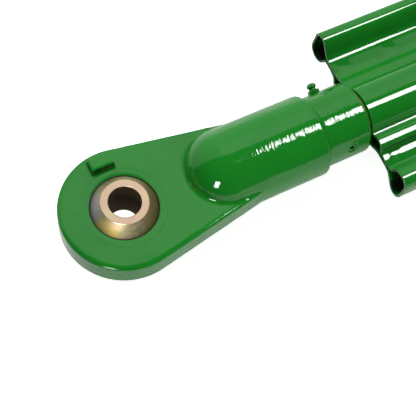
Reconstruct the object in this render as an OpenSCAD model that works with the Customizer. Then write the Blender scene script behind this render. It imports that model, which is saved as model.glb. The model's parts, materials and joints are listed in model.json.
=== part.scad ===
// Adjustable three-point lift link, millimetres.
// X runs along the link from the swivel ball to the fork, Z is the ball's bore axis.
// The origin is the centre of the ball. The link is drawn at its shortest.

/* [Eye end] */
// Radius of the round end of the eye plate
eye_r = 52; // [49:0.5:58]
// Thickness of the eye plate
plate_t = 25; // [23:0.5:28]
// Angle of the plate's tapering sides to the link's axis
plate_taper = 10.2; // [8:0.1:12]
// Distance from the ball to the centres of the plate's rear corners
corner_x = 100; // [94:1:106]
// Radius of the plate's rear corners in plan
corner_r = 18; // [14:1:20]
// Rounding of the plate's forged edges
edge_r = 2.5; // [1:0.5:4]
// Radius of the barrel
barrel_r = 35; // [33:0.5:37]
// Distance from the ball to the centre of the barrel's domed end
dome_x = 91; // [88:1:95]
// Distance from the ball to the barrel's mouth
barrel_end = 169; // [160:1:180]
// Blend radius where the dome meets the plate
blend_r = 6; // [4:0.5:8]
// Length along X of the raised lug on the plate
lug_w = 19.25; // [16:0.25:22]
// Height of the raised lug above the plate
lug_h = 6; // [4:0.5:8]

/* [Ball and race] */
// Radius of the swivel ball
ball_r = 29; // [28.5:0.1:29.5]
// Width of the swivel ball over its flat faces
ball_w = 44.4; // [42:0.2:46]
// Radius of the pin hole through the ball
bore_r = 12.7; // [11:0.1:14.5]
// Outer radius of the race ring
race_r = 31; // [30.8:0.1:33]
// Running clearance between ball and race
ball_gap = 0.08; // [0.03:0.01:0.1]
// Chamfer of the race's mouth round the ball
mouth_cut = 0.6; // [0.3:0.1:1]

/* [Screws] */
// Major radius of both adjusting screws
screw_r = 16; // [15:0.1:16.4]
// Length of each screw held inside its end piece
grip_len = 60; // [50:1:64]
// Thread pitch, right-hand above and left-hand below
pitch = 4; // [3:0.5:4]
// Full turns between the shortest and the longest link
turns = 10; // [6:1:10]
// Running clearance between screw and thread, drawn plain
thread_gap = 0.08; // [0.03:0.01:0.1]
// Diameter of the pins that hold the screws in their end pieces
pin_d = 8; // [6:1:10]

/* [Nut] */
// Outer radius of the nut
nut_r = 30.5; // [29:0.5:32]
// Length of the nut
nut_len = 39.9; // [36:0.1:44]
// Gap between the barrel's mouth and the nut
nut_gap = 0.6; // [0.4:0.1:1.5]
// Depth of the nut's rear socket that takes the tube
socket_len = 8; // [6:0.5:10]
// Direction of the nut's grease fitting round the axis, from +Y
fitting_deg = 22; // [0:1:45]
// Direction of the nut's set screw round the axis, from +Y
set_screw_deg = 163; // [150:1:180]
// Diameter of the set screw
set_screw_d = 8; // [6:1:10]

/* [Grease fittings] */
// Thread diameter of the fittings
fitting_d = 7; // [6:0.25:7]
// Diameter of the head the grease gun grips
fitting_head_d = 7.2; // [6.6:0.1:7.6]
// Height of the head above its seat
fitting_h = 8.8; // [8.2:0.1:9.4]
// Distance from the handle's lower end to the lower fitting
fitting_past = 12; // [9:0.5:14]

/* [Tube] */
// Outer radius of the tube
tube_r = 20.75; // [20.4:0.05:21]
// Clearance radius inside the tube's middle
tube_bore_r = 16.9; // [16.6:0.1:17.2]
// Length of the tube that stands out below the handle
tube_past = 24; // [21:0.5:30]
// Length of the left-hand thread in the tube's lower end
lower_thread = 26; // [20:1:32]
// Roll of the tube and handle in the photographed pose
roll = 5; // [0:0.5:6]

/* [Handle] */
// Length of the two handle stampings
handle_len = 250; // [200:5:300]
// Gap between the nut and the handle
handle_gap = 5.5; // [4.5:0.1:8]
// Thickness of the sheet
sheet = 2.2; // [1.8:0.1:2.5]
// Sliding clearance between the handle and the tube
grip_gap = 0.7; // [0.5:0.05:0.9]
// Angle at which the grip ends on the channel side
valley_deg = 25; // [22:1:28]
// Mid-sheet bend radius in the channel's valley
valley_r = 3; // [2.5:0.1:3.5]
// Steepness of the key channel's inner side
ramp_deg = 40; // [35:1:45]
// Length of the key channel's inner side
ramp_len = 4; // [3:0.1:4.5]
// Mid-sheet bend radius on top of the key channel
shoulder_r = 3.2; // [2.5:0.1:4]
// Steepness of the key channel's outer side
slope_deg = 62; // [55:1:68]
// Mid-sheet bend radius at the foot of the key channel
foot_r = 8; // [6:0.5:9]
// Angle at which the grip ends on the plain side
plain_deg = 32; // [30:1:34]
// Mid-sheet bend radius where the plain side leaves the grip
plain_r = 5; // [4:0.5:6]
// Fall of the plain side towards the web
fall_deg = 30; // [28:1:32]
// Mid-sheet bend radius between the plain side and the web
fall_r = 14; // [12:0.5:16]
// Half of the gap between the two webs
web_gap = 0.6; // [0.4:0.1:0.8]
// Distance from the axis to the beads' outer walls, at mid-sheet
bead_out = 76; // [75:0.5:80]
// Height of the beads' crowns over the middle plane
crown_h = 15.4; // [14.5:0.1:16.5]
// Mid-sheet bend radius and steepness of the bead's foot on the channel side
bead_foot_r = 4.2; // [3.5:0.1:5]
bead_foot_deg = 62; // [58:1:66]
// Mid-sheet radius of the bead's crown on the channel side
bead_r = 9; // [8.5:0.1:9.5]
// Mid-sheet bend radius and steepness of the bead's foot on the plain side
lip_foot_r = 13; // [11:0.5:14]
lip_foot_deg = 45; // [42:1:48]
// Mid-sheet radius of the bead's crown on the plain side
lip_r = 6.5; // [6:0.1:7]
// Thickness of the tube's key bars
key_t = 8; // [6:0.1:8.2]
// Offset of the key bars and lock lugs from the middle plane, towards the channels
key_off = 1.7; // [1.4:0.1:2]
// Reach of the key bars from the axis
key_reach = 31; // [28:0.1:31.2]
// Distance from the key bars to the handle's lower end
key_in = 10; // [6:1:20]
// Length of the key bars
key_len = 125; // [60:1:130]
// Leg of the weld beads at the ends of the key bars and lock lugs
weld_leg = 4.5; // [3:0.1:5]
// Number of spot welds along each wing of the handle
spots = 6; // [3:1:8]
// Distance from the handle's ends to the first spot welds
spot_in = 11; // [8:0.5:20]
// Radius of the dimples that the spot welds leave
spot_r = 2.8; // [2:0.1:3]

/* [Fork end] */
// Length of the neck the handle drops over
neck_len = 69; // [60:1:90]
// Distance from the tube's lower end to the lock lugs
lock_past = 8; // [6:0.5:12]
// Length of the lock lugs
lock_len = 18; // [12:1:24]
// Thickness of the lock lugs
lock_t = 7; // [5:0.1:7.4]
// Radius of the fork's round ears
ear_r = 36; // [34:0.5:42]
// Half width of the fork over its ears
fork_half = 35; // [33:0.5:38]
// Half width of the gap between the ears
gap_half = 20; // [18:0.5:22]
// Distance from the neck to the fork's pin
fork_len = 80; // [74:1:90]
// Radius of the fork's pin hole inside its bushes
fork_bore_r = 14.35; // [12:0.05:15]
// Wall thickness of the fork's bushes
bush_t = 2.65; // [2:0.05:3.5]

/* [Hidden] */
$fn = 64;
e = 0.01;

corner_y = (eye_r - corner_r - corner_x*sin(plate_taper))/cos(plate_taper);
side_len = corner_x*cos(plate_taper) - corner_y*sin(plate_taper);
plate_end = corner_x + corner_r;
lug_x0 = -10.75;
lug_y0 = 35.5;

thread_r = screw_r + thread_gap;
travel = pitch*turns;
nut_x0 = barrel_end + nut_gap;
nut_x1 = nut_x0 + nut_len;
wiper_len = 3.6;
wiper_out = screw_r + 6;
recess_x = nut_x0 + wiper_len + 0.2;
socket_x = nut_x1 - socket_len;
fitting_x = nut_x0 + 16.9;
set_screw_x = nut_x0 + 21.9;
set_screw_in = screw_r + 6;
set_screw_out = nut_r - 1.1;

upper_screw_x0 = barrel_end - grip_len - 8;
upper_screw_x1 = socket_x + travel + 0.5;
upper_pin_x = barrel_end - 38;

handle_x0 = nut_x1 + handle_gap;
handle_x1 = handle_x0 + handle_len;
tube_x0 = socket_x + 0.1;
tube_x1 = handle_x1 + tube_past;
seat_cut = 0.25;
lower_wiper_seat = 2.8;
lower_wiper_out = 18.6;
lower_thread_x0 = tube_x1 - lower_wiper_seat - lower_thread;
lower_fitting_x = handle_x1 + fitting_past;
key_x1 = handle_x1 - key_in;
key_x0 = key_x1 - key_len;
braze_r = nut_r - 2.2;
braze_len = 2.6;
seat_d = 1.5*fitting_d;
hex_d = fitting_d*4/3;
fitting_foot = 0.6*fitting_d;
fitting_bore_r = fitting_d/4;
fitting_mouth_r = 0.6*fitting_bore_r;
fitting_floor = 0.7 - fitting_foot;
fitting_ball_seat = fitting_h - 0.4*fitting_d;
fitting_ball_r = 0.9*fitting_bore_r;
fitting_ball_z = fitting_ball_seat - sqrt(pow(fitting_ball_r, 2) - pow(fitting_mouth_r, 2)) - 0.03;
wire_r = 0.307*fitting_bore_r;
coil_r = 0.6*fitting_bore_r;
coils = 7;
coil_z0 = fitting_floor + wire_r;
coil_z1 = fitting_ball_z - sqrt(pow(fitting_ball_r + wire_r + 0.03, 2) - pow(coil_r, 2));

neck_x0 = tube_x1 + 2;
neck_x1 = neck_x0 + neck_len;
lock_x0 = tube_x1 + lock_past;
lower_screw_x0 = lower_thread_x0 - travel - 2;
lower_screw_x1 = neck_x0 + grip_len - 5;
lower_pin_x = neck_x0 + 42;
fork_pin_x = neck_x1 + fork_len;
crotch_x = fork_pin_x - ear_r;
bush_r = fork_bore_r + bush_t;

// The handle's section is walked through mid-sheet. A place is [across, up, heading].
// A stretch is [length, 0], or [bend radius, turn] with a left turn positive
function after(p, s) = let (h = p[2] + s[1], k = s[1] > 0 ? 1 : -1) s[1] == 0
    ? [p[0] + s[0]*cos(h), p[1] + s[0]*sin(h), h]
    : [p[0] + k*s[0]*(sin(h) - sin(p[2])), p[1] - k*s[0]*(cos(h) - cos(p[2])), h];
function walk(p, path, i = 0) = i == len(path) ? [p]
    : concat([p], walk(after(p, path[i]), path, i + 1));
function rise(r, deg) = r*(1 - cos(deg));

grip_m = tube_r + grip_gap + sheet/2;
web_m = web_gap + sheet/2;
crown_m = crown_h - sheet/2;

// Web, bead and outer wall from the place where the web begins
function bead_path(p, fr, fd, cr) = let (
    flank = (crown_m - web_m - rise(fr, fd) - rise(cr, fd))/sin(fd),
    reach = fr*sin(fd) + flank*cos(fd) + cr*(sin(fd) + 1))
    [[bead_out - reach - p[0], 0], [fr, fd], [flank, 0], [cr, -fd - 90], [crown_m - cr - web_gap/2, 0]];

channel_0 = [grip_m*cos(valley_deg), grip_m*sin(valley_deg), valley_deg - 90];
channel_a = [[0.6, 0], [valley_r, 90 - valley_deg + ramp_deg], [ramp_len, 0],
    [shoulder_r, -ramp_deg - slope_deg]];
channel_1 = walk(channel_0, channel_a)[4];
channel_b = concat(channel_a, [[(channel_1[1] - rise(foot_r, slope_deg) - web_m)/sin(slope_deg), 0],
    [foot_r, slope_deg]]);
channel_web = walk(channel_0, channel_b)[6];
channel_path = concat(channel_b, bead_path(channel_web, bead_foot_r, bead_foot_deg, bead_r));

plain_0 = [grip_m*cos(plain_deg), grip_m*sin(plain_deg), plain_deg - 90];
plain_a = [[0.6, 0], [plain_r, 90 - plain_deg - fall_deg]];
plain_1 = walk(plain_0, plain_a)[2];
plain_b = concat(plain_a, [[(plain_1[1] - rise(fall_r, fall_deg) - web_m)/sin(fall_deg), 0],
    [fall_r, fall_deg]]);
plain_web = walk(plain_0, plain_b)[4];
plain_path = concat(plain_b, bead_path(plain_web, lip_foot_r, lip_foot_deg, lip_r));

spot_w = (channel_web[0] + plain_web[0] + plain_path[4][0])/2;

green = [0.08, 0.42, 0.13];
zinc = [0.78, 0.70, 0.50];
steel = [0.55, 0.55, 0.55];
bronze = [0.55, 0.33, 0.17];
black = [0.10, 0.10, 0.10];

// Lay a solid that was turned about Z along X
module along_x(x = 0) translate([x, 0, 0]) rotate([0, 90, 0]) children();

// Push a flat section drawn in Y and Z along X
module push_x(x0, x1) translate([x0, 0, 0]) rotate([90, 0, 90])
    linear_extrude(height = x1 - x0) children();

// Turn about the link's axis, from +Y
module aim(x, deg) translate([x, 0, 0]) rotate([deg, 0, 0]) rotate([-90, 0, 0]) children();

// A plain round bar or bore along X
module bar(r, x0, x1) along_x(x0) cylinder(r = r, h = x1 - x0);

// Area left outside a rounded corner at the origin, its arc of radius r
module corner_cut(r) difference() {
    square([r + 1, r + 1]);
    circle(r = r);
}

// A round bar along X with both ends rounded
module round_bar(r, x0, x1, e0, e1) along_x(x0) rotate_extrude() difference() {
    square([r, x1 - x0]);
    if (e1 > 0) translate([r - e1, x1 - x0 - e1]) corner_cut(e1);
    if (e0 > 0) translate([r - e0, e0]) mirror([0, 1]) corner_cut(e0);
}

// A round bar along X with both ends chamfered
module screw_bar(r, x0, x1, c0, c1) along_x(x0) rotate_extrude()
    polygon([[0, 0], [r - c0, 0], [r, c0], [r, x1 - x0 - c1], [r - c1, x1 - x0], [0, x1 - x0]]);

// Eye plate
module plate_disc(r, x, y) translate([x, y, 0]) rotate_extrude() difference() {
    translate([0, -plate_t/2]) square([r, plate_t]);
    translate([r - edge_r, plate_t/2 - edge_r]) corner_cut(edge_r);
    translate([r - edge_r, edge_r - plate_t/2]) mirror([0, 1]) corner_cut(edge_r);
}

// The side stands a hair inside the round ends, which makes a clean join
module plate_side() rotate([0, 0, -plate_taper]) push_x(0, side_len) difference() {
    translate([5, e - plate_t/2]) square([eye_r - 5 - e, plate_t - 2*e]);
    translate([eye_r - e - edge_r, plate_t/2 - e - edge_r]) corner_cut(edge_r);
    translate([eye_r - e - edge_r, e + edge_r - plate_t/2]) mirror([0, 1]) corner_cut(edge_r);
}

module plate() {
    plate_disc(eye_r, 0, 0);
    plate_disc(corner_r, corner_x, corner_y);
    plate_disc(corner_r, corner_x, -corner_y);
    plate_side();
    mirror([0, 1, 0]) plate_side();
    translate([0, -corner_y, -plate_t/2]) cube([plate_end, 2*corner_y, plate_t]);
}

// Blend between the domed barrel and the plate, one face
blend_z = plate_t/2 + blend_r;
blend_x = sqrt(pow(barrel_r + blend_r, 2) - pow(blend_z, 2));
blend_k = barrel_r/(barrel_r + blend_r);
module blend_section() difference() {
    polygon([[blend_x*blend_k - 3, plate_t/2 - 1], [blend_x - 0.02, plate_t/2 - 1],
        [blend_x - 0.02, plate_t/2 + 0.01], [blend_x*blend_k, blend_z*blend_k],
        [blend_x*blend_k - 3, blend_z*blend_k]]);
    translate([blend_x, blend_z]) circle(r = blend_r);
}

module blend() {
    translate([dome_x, 0, 0]) rotate([0, 0, 90]) rotate_extrude(angle = 180) blend_section();
}

// Barrel with its domed end
module barrel() round_bar(barrel_r, dome_x - barrel_r, barrel_end, barrel_r, edge_r);

// Raised lug at the plate's rim, filleted on three sides
module rim_lug() {
    push_x(lug_x0, lug_x0 + lug_w)
        polygon([[lug_y0, plate_t/2 - 1], [lug_y0, plate_t/2 + lug_h - 0.7],
            [lug_y0 + 0.7, plate_t/2 + lug_h], [lug_y0 + 10.5, plate_t/2 + lug_h],
            [lug_y0 + 11.5, plate_t/2 + lug_h - 0.6], [eye_r - 4, plate_t/2 - 1]]);
    push_x(lug_x0, lug_x0 + lug_w) translate([lug_y0, plate_t/2]) difference() {
        translate([-2, -1]) square([2.5, 3]);
        translate([-2, 2]) circle(r = 2);
    }
}

module upper_eye() color(green) difference() {
    union() {
        plate();
        blend();
        mirror([0, 0, 1]) blend();
        barrel();
        rim_lug();
    }
    translate([0, 0, -plate_t]) cylinder(r = race_r, h = 2*plate_t);
    bar(screw_r, upper_screw_x0, barrel_end + 1);
    translate([upper_pin_x, 0, -barrel_r - 1]) cylinder(d = pin_d, h = barrel_r);
}

// Race ring, swaged round the ball and left just below the plate's faces
race_h = plate_t/2 - 0.3;
mouth_r = sqrt(pow(ball_r + ball_gap, 2) - pow(race_h, 2));
module ball_race() color(green) rotate_extrude() difference() {
    translate([ball_r - 6, -race_h]) square([race_r - ball_r + 6, 2*race_h]);
    circle(r = ball_r + ball_gap);
    for (s = [0, 1]) mirror([0, s]) {
        translate([race_r, race_h]) polygon([[-0.4, 0.01], [0.01, 0.01], [0.01, -0.4]]);
        translate([mouth_r, race_h]) polygon([[-3, 0.01], [mouth_cut, 0.01], [-0.1, -mouth_cut], [-3, -mouth_cut]]);
    }
}

// Swivel ball with flat faces and a chamfered pin hole
module swivel_ball() color(zinc) rotate_extrude() difference() {
    intersection() {
        circle(r = ball_r);
        translate([0, -ball_w/2]) square([ball_r, ball_w]);
    }
    translate([0, -ball_r]) square([bore_r, 2*ball_r]);
    for (s = [0, 1]) mirror([0, s])
        polygon([[bore_r - 1, ball_w/2 - 1], [bore_r, ball_w/2 - 1], [bore_r + 1, ball_w/2],
            [bore_r + 1, ball_w/2 + 1], [bore_r - 1, ball_w/2 + 1]]);
}

// Upper screw, right-hand thread drawn as its major cylinder
module upper_screw() color(steel) difference() {
    screw_bar(screw_r, upper_screw_x0, upper_screw_x1, 2, 2);
    translate([upper_pin_x, 0, -screw_r - 1]) cylinder(d = pin_d, h = 9);
}

module upper_screw_pin() color(steel)
    translate([upper_pin_x, 0, 0.8 - barrel_r]) cylinder(d = pin_d, h = barrel_r - screw_r + 7.2);

// Plastic wiper in the nut's mouth
module upper_wiper() color(black) along_x(nut_x0 + 0.1) rotate_extrude() difference() {
    translate([screw_r + thread_gap, 0]) square([wiper_out - screw_r - thread_gap, wiper_len]);
    translate([screw_r + thread_gap - 0.01, -0.01]) polygon([[0, 0], [1.2, 0], [0, 1.2]]);
}

// Upper nut, right-hand thread drawn as its major cylinder
module upper_nut() color(green) difference() {
    round_bar(nut_r, nut_x0, nut_x1, 1.5, 1.5);
    bar(thread_r, nut_x0 - 1, nut_x1 + 1);
    bar(wiper_out + thread_gap, nut_x0 - 1, recess_x);
    bar(tube_r, socket_x, nut_x1 + 1);
    aim(fitting_x, fitting_deg) cylinder(d = fitting_d, h = nut_r + 1);
    aim(fitting_x, fitting_deg) translate([0, 0, nut_r - seat_cut]) cylinder(d = seat_d, h = 5);
    aim(set_screw_x, set_screw_deg) cylinder(d = set_screw_d, h = nut_r + 1);
}

// Bronze bead that joins the tube to the nut
module nut_braze() color(bronze) along_x(nut_x1) rotate_extrude() translate([tube_r, 0]) difference() {
    square([braze_r - tube_r, braze_len]);
    translate([braze_r - tube_r - 1.4, braze_len - 1.4]) corner_cut(1.4);
}

// Set screw with a hexagon socket, and the soft plug it presses on the thread
module set_screw() color(steel) aim(set_screw_x, set_screw_deg) difference() {
    translate([0, 0, set_screw_in]) cylinder(d = set_screw_d, h = set_screw_out - set_screw_in);
    translate([0, 0, set_screw_out - 3.5]) cylinder(d = set_screw_d*0.55, h = 5, $fn = 6);
}

module set_screw_plug() color(black) aim(set_screw_x, set_screw_deg)
    translate([0, 0, thread_r + 0.1]) cylinder(d = set_screw_d, h = set_screw_in - thread_r - 0.1);

// One grease fitting standing on its seat at height 0
module fitting() difference() {
    union() {
        translate([0, 0, -fitting_foot]) cylinder(d = fitting_d, h = fitting_foot + 0.1);
        cylinder(d = hex_d, h = 0.31*fitting_h, $fn = 6);
        rotate_extrude() polygon([[0, 0.3*fitting_h], [0.36*hex_d, 0.3*fitting_h],
            [0.35*fitting_head_d, 0.43*fitting_h], [0.35*fitting_head_d, 0.52*fitting_h],
            [fitting_head_d/2, 0.64*fitting_h], [fitting_head_d/2, 0.76*fitting_h],
            [0.29*fitting_head_d, fitting_h], [0, fitting_h]]);
    }
    translate([0, 0, fitting_floor]) cylinder(r = fitting_bore_r, h = fitting_ball_seat - fitting_floor);
    translate([0, 0, -fitting_foot - 1]) cylinder(r = fitting_mouth_r, h = fitting_foot + fitting_h + 2);
}

module at_fittings() {
    aim(fitting_x, fitting_deg) translate([0, 0, nut_r - seat_cut]) children();
    aim(lower_fitting_x, roll) translate([0, 0, tube_r - seat_cut]) children();
}

module grease_fittings() color(green) at_fittings() fitting();

// Check ball held against the fitting's mouth by its spring
module fitting_balls() color(steel) at_fittings()
    translate([0, 0, fitting_ball_z]) sphere(r = fitting_ball_r);

module fitting_springs() color(steel) at_fittings() for (k = [0 : coils - 1])
    translate([0, 0, coil_z0 + (coil_z1 - coil_z0)*k/(coils - 1)]) rotate_extrude()
        translate([coil_r, 0]) circle(r = wire_r, $fn = 24);

// Tube with a clearance bore and the left-hand thread in its lower end
module body_tube() color(green) difference() {
    bar(tube_r, tube_x0, tube_x1);
    bar(tube_bore_r, tube_x0 - 1, lower_thread_x0);
    bar(thread_r, tube_x0 - 1, tube_x1 + 1);
    bar(lower_wiper_out, tube_x1 - lower_wiper_seat, tube_x1 + 1);
    aim(lower_fitting_x, roll) cylinder(d = fitting_d, h = tube_r + 1);
    aim(lower_fitting_x, roll) translate([0, 0, tube_r - seat_cut]) cylinder(d = seat_d, h = 5);
}

// Two key bars that turn the handle with the tube
module key_bars() color(green) difference() {
    for (s = [0, 180]) rotate([roll + s, 0, 0])
        translate([key_x0, tube_r/2, -key_t/2 - key_off]) cube([key_len, key_reach - tube_r/2, key_t]);
    bar(tube_r, key_x0 - 1, key_x1 + 1);
}

// Weld bead between the tube's wall and the end of a bar of the given thickness
module weld_bead(w) difference() {
    translate([0, 0, -w/2 - key_off]) linear_extrude(height = w) polygon([[0, tube_r - 2],
        [weld_leg - 0.5, tube_r - 2], [weld_leg - 0.5, tube_r + 0.3], [0, tube_r + weld_leg]]);
    bar(tube_r, -1, weld_leg + 1);
}

module key_bar_welds() color(green) for (s = [0, 180], t = [0, 1]) rotate([roll + s, 0, 0])
    translate([t == 0 ? key_x0 : key_x1, 0, 0]) mirror([1 - t, 0, 0]) weld_bead(0.7*key_t);

module lower_wiper() color(black) along_x(tube_x1 - lower_wiper_seat) rotate_extrude()
    difference() {
        translate([screw_r + thread_gap, 0])
            square([lower_wiper_out - screw_r - thread_gap, lower_wiper_seat + 0.8]);
        translate([screw_r + thread_gap - 0.01, lower_wiper_seat + 0.81])
            polygon([[0, 0], [0.8, 0], [0, -0.8]]);
    }

// A stretch of sheet bent round c at mid-sheet radius r, from angle a0 to a1.
// It is a hair thinner than the flat stretches and laps into them, so they join.
module bend(c, r, a0, a1) {
    lap = 0.05/r*180/PI;
    translate(c) intersection() {
        difference() {
            circle(r = r + sheet/2 - 0.005);
            circle(r = r - sheet/2 + 0.005);
        }
        polygon(concat([[0, 0]], [for (k = [0 : 4]) let (a = a0 - lap + (a1 - a0 + 2*lap)*k/4)
            4*(r + sheet)*[cos(a), sin(a)]]));
    }
}

// A flat stretch of sheet from p to q at mid-sheet
module flat(p, q) {
    n = [p[1] - q[1], q[0] - p[0]]/norm(q - p)*sheet/2;
    polygon([p + n, p - n, q - n, q + n]);
}

// The sheet along a walked path
module walked(p, path) {
    places = walk(p, path);
    for (i = [0 : len(path) - 1]) let (q = places[i], r = path[i][0], turn = path[i][1], k = turn > 0 ? 1 : -1)
        if (turn == 0) flat([q[0], q[1]], [places[i + 1][0], places[i + 1][1]]);
        else bend([q[0] - k*r*sin(q[2]), q[1] + k*r*cos(q[2])], r,
            min(q[2], q[2] + turn) - k*90, max(q[2], q[2] + turn) - k*90);
}

// One stamping: plain side, grip and channel side. The webs stand apart and
// touch only where the spot welds have pressed them together
module stamping() difference() {
    union() {
        push_x(handle_x0, handle_x1) {
            bend([0, 0], grip_m, plain_deg, 180 - valley_deg);
            walked(plain_0, plain_path);
            mirror([1, 0]) walked(channel_0, channel_path);
        }
        at_spots() cylinder(r = spot_r, h = web_m);
    }
    at_spots() translate([0, 0, sheet]) cylinder(r = spot_r, h = sheet);
}

module at_spots() for (k = [0 : spots - 1], s = [-1, 1])
    translate([handle_x0 + spot_in + k*(handle_len - 2*spot_in)/(spots - 1), s*spot_w, 0]) children();

module handle_front() color(green) rotate([roll, 0, 0]) stamping();

module handle_back() color(green) rotate([roll + 180, 0, 0]) stamping();

// Lower screw, left-hand thread drawn as its major cylinder
module lower_screw() color(steel) difference() {
    screw_bar(screw_r, lower_screw_x0, lower_screw_x1, 2, 2);
    translate([lower_pin_x, 0, -screw_r - 1]) cylinder(d = pin_d, h = 9);
}

module lower_screw_pin() color(steel)
    translate([lower_pin_x, 0, 0.5 - tube_r]) cylinder(d = pin_d, h = tube_r - screw_r + 7.5);

// Forged fork with a neck as thick as the tube
module lower_yoke() color(green) difference() {
    union() {
        bar(tube_r, neck_x0, neck_x1 + 1);
        round_bar(fork_half, neck_x1, crotch_x, 9, 0);
        for (s = [0, 1]) mirror([0, 0, s]) translate([0, 0, gap_half - 4]) {
            translate([crotch_x - 12, -ear_r + 3, 0])
                cube([fork_pin_x - crotch_x + 12, 2*ear_r - 6, fork_half - gap_half + 4]);
            translate([fork_pin_x, 0, 0]) cylinder(r = ear_r, h = fork_half - gap_half + 4);
        }
    }
    translate([crotch_x, 0, 0]) rotate([90, 0, 0]) cylinder(r = gap_half, h = 4*ear_r, center = true);
    translate([crotch_x, -2*ear_r, -gap_half])
        cube([fork_pin_x + 2*ear_r - crotch_x, 4*ear_r, 2*gap_half]);
    bar(screw_r, neck_x0 - 1, lower_screw_x1);
    translate([lower_pin_x, 0, -tube_r - 1]) cylinder(d = pin_d, h = tube_r);
    translate([fork_pin_x, 0, -2*fork_half]) cylinder(r = bush_r, h = 4*fork_half);
}

// Two lugs on the neck that hold the lowered handle still
module lock_lugs() color(green) difference() {
    for (s = [0, 180]) rotate([roll + s, 0, 0]) translate([lock_x0, tube_r/2, -lock_t/2 - key_off])
        cube([lock_len, key_reach - 0.5 - tube_r/2, lock_t]);
    bar(tube_r, lock_x0 - 1, lock_x0 + lock_len + 1);
}

module lock_lug_welds() color(green) for (s = [0, 180]) rotate([roll + s, 0, 0])
    translate([lock_x0 + lock_len, 0, 0]) weld_bead(0.7*lock_t);

module yoke_bushes() color(steel) for (s = [0, 1]) mirror([0, 0, s])
    translate([fork_pin_x, 0, gap_half]) difference() {
        cylinder(r = bush_r, h = fork_half - gap_half);
        translate([0, 0, -1]) cylinder(r = fork_bore_r, h = fork_half - gap_half + 2);
    }

upper_eye();
ball_race();
swivel_ball();
upper_screw();
upper_screw_pin();
upper_wiper();
upper_nut();
nut_braze();
set_screw();
set_screw_plug();
grease_fittings();
fitting_balls();
fitting_springs();
body_tube();
key_bars();
key_bar_welds();
lower_wiper();
handle_front();
handle_back();
lower_screw();
lower_screw_pin();
lower_yoke();
lock_lugs();
lock_lug_welds();
yoke_bushes();
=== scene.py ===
"""Looks of an adjustable three-point lift link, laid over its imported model.

Laid out as an add-on with one operator for each group of pieces.
"""

import json
from math import ceil, cos, pi, radians, sin

import bmesh
import bpy
from bmesh.types import BMEdge, BMVert
from bpy.props import FloatProperty, FloatVectorProperty, PointerProperty
from bpy.types import Operator, Panel, PropertyGroup
from mathutils import Matrix, Vector, noise


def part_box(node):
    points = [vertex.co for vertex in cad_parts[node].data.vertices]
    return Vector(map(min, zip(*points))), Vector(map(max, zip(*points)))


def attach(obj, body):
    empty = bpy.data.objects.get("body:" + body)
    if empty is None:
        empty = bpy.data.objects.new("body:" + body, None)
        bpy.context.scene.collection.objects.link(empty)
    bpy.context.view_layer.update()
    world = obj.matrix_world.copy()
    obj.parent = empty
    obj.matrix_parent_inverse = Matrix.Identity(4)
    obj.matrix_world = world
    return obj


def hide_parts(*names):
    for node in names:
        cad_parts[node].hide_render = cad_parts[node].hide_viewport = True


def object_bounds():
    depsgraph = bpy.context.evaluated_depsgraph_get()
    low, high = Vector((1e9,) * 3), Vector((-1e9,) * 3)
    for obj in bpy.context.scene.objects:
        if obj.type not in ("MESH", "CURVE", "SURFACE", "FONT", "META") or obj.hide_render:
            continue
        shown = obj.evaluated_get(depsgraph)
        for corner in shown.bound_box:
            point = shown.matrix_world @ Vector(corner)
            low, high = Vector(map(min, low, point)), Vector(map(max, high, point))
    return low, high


bl_info = {
    "name": "Lift Link",
    "version": (1, 0, 0),
    "blender": (4, 5, 0),
    "location": "View3D > Sidebar > Lift Link",
    "description": "Forged eye, swivel ball, nut, stamped handle and fork of a lift link",
    "category": "Object",
}

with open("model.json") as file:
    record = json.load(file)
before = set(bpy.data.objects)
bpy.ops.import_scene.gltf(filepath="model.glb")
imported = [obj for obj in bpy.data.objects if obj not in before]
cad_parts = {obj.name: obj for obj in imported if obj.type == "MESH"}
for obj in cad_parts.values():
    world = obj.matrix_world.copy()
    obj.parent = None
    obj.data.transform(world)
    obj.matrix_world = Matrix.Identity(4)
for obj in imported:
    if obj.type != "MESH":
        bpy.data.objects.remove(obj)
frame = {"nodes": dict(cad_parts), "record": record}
cad_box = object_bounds()
MM = 0.001
ROLL = radians(5.0)


# Sizes and colours

def length(name, default, description):
    return FloatProperty(
        name=name, description=description, default=default, min=0.0, unit="LENGTH", precision=5
    )


def angle(name, default, description):
    return FloatProperty(
        name=name, description=description, default=default, unit="ROTATION", precision=4
    )


def colour(name, default, description):
    return FloatVectorProperty(
        name=name, description=description, default=default, size=3, subtype="COLOR",
        min=0.0, max=1.0,
    )


class LinkColours(PropertyGroup):
    """Colours of the finishes"""

    enamel: colour("Enamel", (0.0076, 0.162, 0.0125), "Green enamel on the castings and the sheet")
    zinc: colour("Zinc", (0.92, 0.74, 0.46), "Yellow passivated zinc on the ball")
    # The bore's dark brown is partly oiled metal and partly painted shade inside the hole
    bore: colour("Bore", (0.100, 0.066, 0.032), "Dark oiled wall of the ball's pin hole")
    steel: colour("Steel", (0.42, 0.41, 0.40), "Bare steel of the screws and bushes")
    bronze: colour("Bronze", (0.36, 0.17, 0.075), "Brazing bronze round the tube")
    rubber: colour("Rubber", (0.012, 0.012, 0.012), "Wipers and thread plug")
    floor: colour("Floor", (0.80, 0.80, 0.80), "Floor under the link")


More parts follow.
